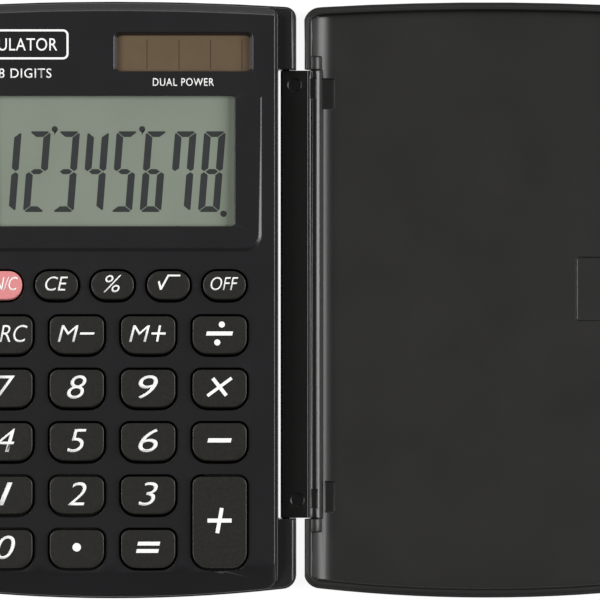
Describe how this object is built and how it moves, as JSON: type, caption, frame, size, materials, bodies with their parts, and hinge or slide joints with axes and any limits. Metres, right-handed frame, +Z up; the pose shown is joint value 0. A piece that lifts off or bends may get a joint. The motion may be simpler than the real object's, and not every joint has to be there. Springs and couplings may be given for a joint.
{
  "type": "pocket calculator",
  "caption": "Pocket calculator with a keypad, display and solar cell in a slim body, and a cover on a double hinge, laid open flat.",
  "frame": {"origin": "on the table under the middle of the open calculator, half way between body and cover", "axes": "+X from the body towards the cover, +Y towards the display end, +Z up from the table"},
  "size_m": [0.1212, 0.098, 0.0079],
  "materials": {
    "black_abs": "fine spark-textured moulded ABS, satin",
    "black_key": "smooth moulded ABS, satin",
    "salmon_key": "smooth moulded ABS, satin",
    "clear_acrylic": "clear, polished",
    "display_glass": "grey-green polariser behind glass",
    "reflector_foil": "matt silvered film",
    "dark_silicone": "layered conductive silicone",
    "amorphous_silicon": "brown cell under clear glass",
    "red_pvc": "wire insulation",
    "board_laminate": "solder mask over glass laminate",
    "black_epoxy": "cured resin",
    "component_body": "dipped ceramic and film parts",
    "grey_silicone": "moulded silicone",
    "nickel_steel": "nickel-plated can",
    "phosphor_bronze": "rolled spring strip",
    "zinc_steel": "zinc-plated",
    "white_ink": "pad-printed ink",
    "display_ink": "darkened liquid crystal segments"
  },
  "bodies": {
    "body": {"lower_case": "black_abs", "upper_case": "black_abs", "display_lens": "clear_acrylic", "lcd_panel": "display_glass", "lcd_reflector": "reflector_foil", "zebra_connector": "dark_silicone", "solar_cell": "amorphous_silicon", "solar_leads": "red_pvc", "circuit_board": "board_laminate", "chip_blob": "black_epoxy", "board_components": "component_body", "key_mat": "grey_silicone", "button_cell": "nickel_steel", "contact_positive": "phosphor_bronze", "contact_negative": "phosphor_bronze", "battery_door": "black_abs", "battery_door_screw": "zinc_steel", "case_screws": "zinc_steel", "board_screws": "zinc_steel"},
    "link": {"hinge_link": "black_abs"},
    "cover": {"cover": "black_abs"},
    "key_on_clear": {"key_on_clear": "salmon_key"},
    "key_clear_entry": {"key_clear_entry": "black_key"},
    "key_percent": {"key_percent": "black_key"},
    "key_square_root": {"key_square_root": "black_key"},
    "key_off": {"key_off": "black_key"},
    "key_memory_recall": {"key_memory_recall": "black_key"},
    "key_memory_minus": {"key_memory_minus": "black_key"},
    "key_memory_plus": {"key_memory_plus": "black_key"},
    "key_divide": {"key_divide": "black_key"},
    "key_7": {"key_7": "black_key"},
    "key_8": {"key_8": "black_key"},
    "key_9": {"key_9": "black_key"},
    "key_multiply": {"key_multiply": "black_key"},
    "key_4": {"key_4": "black_key"},
    "key_5": {"key_5": "black_key"},
    "key_6": {"key_6": "black_key"},
    "key_minus": {"key_minus": "black_key"},
    "key_1": {"key_1": "black_key"},
    "key_2": {"key_2": "black_key"},
    "key_3": {"key_3": "black_key"},
    "key_plus": {"key_plus": "black_key"},
    "key_0": {"key_0": "black_key"},
    "key_point": {"key_point": "black_key"},
    "key_equals": {"key_equals": "black_key"}
  },
  "joints": [
    {"name": "link_fold", "type": "hinge", "parent": "body", "child": "link", "pos_m": [-0.00235, 0, 0.0023], "axis": [0, -1, 0], "range_deg": [-90, 90]},
    {"name": "cover_fold", "type": "hinge", "parent": "link", "child": "cover", "pos_m": [0.00235, 0, 0.0023], "axis": [0, -1, 0], "range_deg": [-90, 90]},
    {"name": "press_key_on_clear", "type": "slide", "parent": "body", "child": "key_on_clear", "axis": [0, 0, -1], "range_m": [0, 0.0007], "stiffness_N_per_m": 300, "springref_m": -0.0004, "deforming": ["key_mat"]},
    {"name": "press_key_clear_entry", "type": "slide", "parent": "body", "child": "key_clear_entry", "axis": [0, 0, -1], "range_m": [0, 0.0007], "stiffness_N_per_m": 300, "springref_m": -0.0004},
    {"name": "press_key_percent", "type": "slide", "parent": "body", "child": "key_percent", "axis": [0, 0, -1], "range_m": [0, 0.0007], "stiffness_N_per_m": 300, "springref_m": -0.0004},
    {"name": "press_key_square_root", "type": "slide", "parent": "body", "child": "key_square_root", "axis": [0, 0, -1], "range_m": [0, 0.0007], "stiffness_N_per_m": 300, "springref_m": -0.0004},
    {"name": "press_key_off", "type": "slide", "parent": "body", "child": "key_off", "axis": [0, 0, -1], "range_m": [0, 0.0007], "stiffness_N_per_m": 300, "springref_m": -0.0004},
    {"name": "press_key_memory_recall", "type": "slide", "parent": "body", "child": "key_memory_recall", "axis": [0, 0, -1], "range_m": [0, 0.0007], "stiffness_N_per_m": 300, "springref_m": -0.0004},
    {"name": "press_key_memory_minus", "type": "slide", "parent": "body", "child": "key_memory_minus", "axis": [0, 0, -1], "range_m": [0, 0.0007], "stiffness_N_per_m": 300, "springref_m": -0.0004},
    {"name": "press_key_memory_plus", "type": "slide", "parent": "body", "child": "key_memory_plus", "axis": [0, 0, -1], "range_m": [0, 0.0007], "stiffness_N_per_m": 300, "springref_m": -0.0004},
    {"name": "press_key_divide", "type": "slide", "parent": "body", "child": "key_divide", "axis": [0, 0, -1], "range_m": [0, 0.0007], "stiffness_N_per_m": 300, "springref_m": -0.0004},
    {"name": "press_key_7", "type": "slide", "parent": "body", "child": "key_7", "axis": [0, 0, -1], "range_m": [0, 0.0007], "stiffness_N_per_m": 300, "springref_m": -0.0004},
    {"name": "press_key_8", "type": "slide", "parent": "body", "child": "key_8", "axis": [0, 0, -1], "range_m": [0, 0.0007], "stiffness_N_per_m": 300, "springref_m": -0.0004},
    {"name": "press_key_9", "type": "slide", "parent": "body", "child": "key_9", "axis": [0, 0, -1], "range_m": [0, 0.0007], "stiffness_N_per_m": 300, "springref_m": -0.0004},
    {"name": "press_key_multiply", "type": "slide", "parent": "body", "child": "key_multiply", "axis": [0, 0, -1], "range_m": [0, 0.0007], "stiffness_N_per_m": 300, "springref_m": -0.0004},
    {"name": "press_key_4", "type": "slide", "parent": "body", "child": "key_4", "axis": [0, 0, -1], "range_m": [0, 0.0007], "stiffness_N_per_m": 300, "springref_m": -0.0004},
    {"name": "press_key_5", "type": "slide", "parent": "body", "child": "key_5", "axis": [0, 0, -1], "range_m": [0, 0.0007], "stiffness_N_per_m": 300, "springref_m": -0.0004},
    {"name": "press_key_6", "type": "slide", "parent": "body", "child": "key_6", "axis": [0, 0, -1], "range_m": [0, 0.0007], "stiffness_N_per_m": 300, "springref_m": -0.0004},
    {"name": "press_key_minus", "type": "slide", "parent": "body", "child": "key_minus", "axis": [0, 0, -1], "range_m": [0, 0.0007], "stiffness_N_per_m": 300, "springref_m": -0.0004},
    {"name": "press_key_1", "type": "slide", "parent": "body", "child": "key_1", "axis": [0, 0, -1], "range_m": [0, 0.0007], "stiffness_N_per_m": 300, "springref_m": -0.0004},
    {"name": "press_key_2", "type": "slide", "parent": "body", "child": "key_2", "axis": [0, 0, -1], "range_m": [0, 0.0007], "stiffness_N_per_m": 300, "springref_m": -0.0004},
    {"name": "press_key_3", "type": "slide", "parent": "body", "child": "key_3", "axis": [0, 0, -1], "range_m": [0, 0.0007], "stiffness_N_per_m": 300, "springref_m": -0.0004},
    {"name": "press_key_plus", "type": "slide", "parent": "body", "child": "key_plus", "axis": [0, 0, -1], "range_m": [0, 0.0007], "stiffness_N_per_m": 300, "springref_m": -0.0004},
    {"name": "press_key_0", "type": "slide", "parent": "body", "child": "key_0", "axis": [0, 0, -1], "range_m": [0, 0.0007], "stiffness_N_per_m": 300, "springref_m": -0.0004},
    {"name": "press_key_point", "type": "slide", "parent": "body", "child": "key_point", "axis": [0, 0, -1], "range_m": [0, 0.0007], "stiffness_N_per_m": 300, "springref_m": -0.0004},
    {"name": "press_key_equals", "type": "slide", "parent": "body", "child": "key_equals", "axis": [0, 0, -1], "range_m": [0, 0.0007], "stiffness_N_per_m": 300, "springref_m": -0.0004}
  ]
}
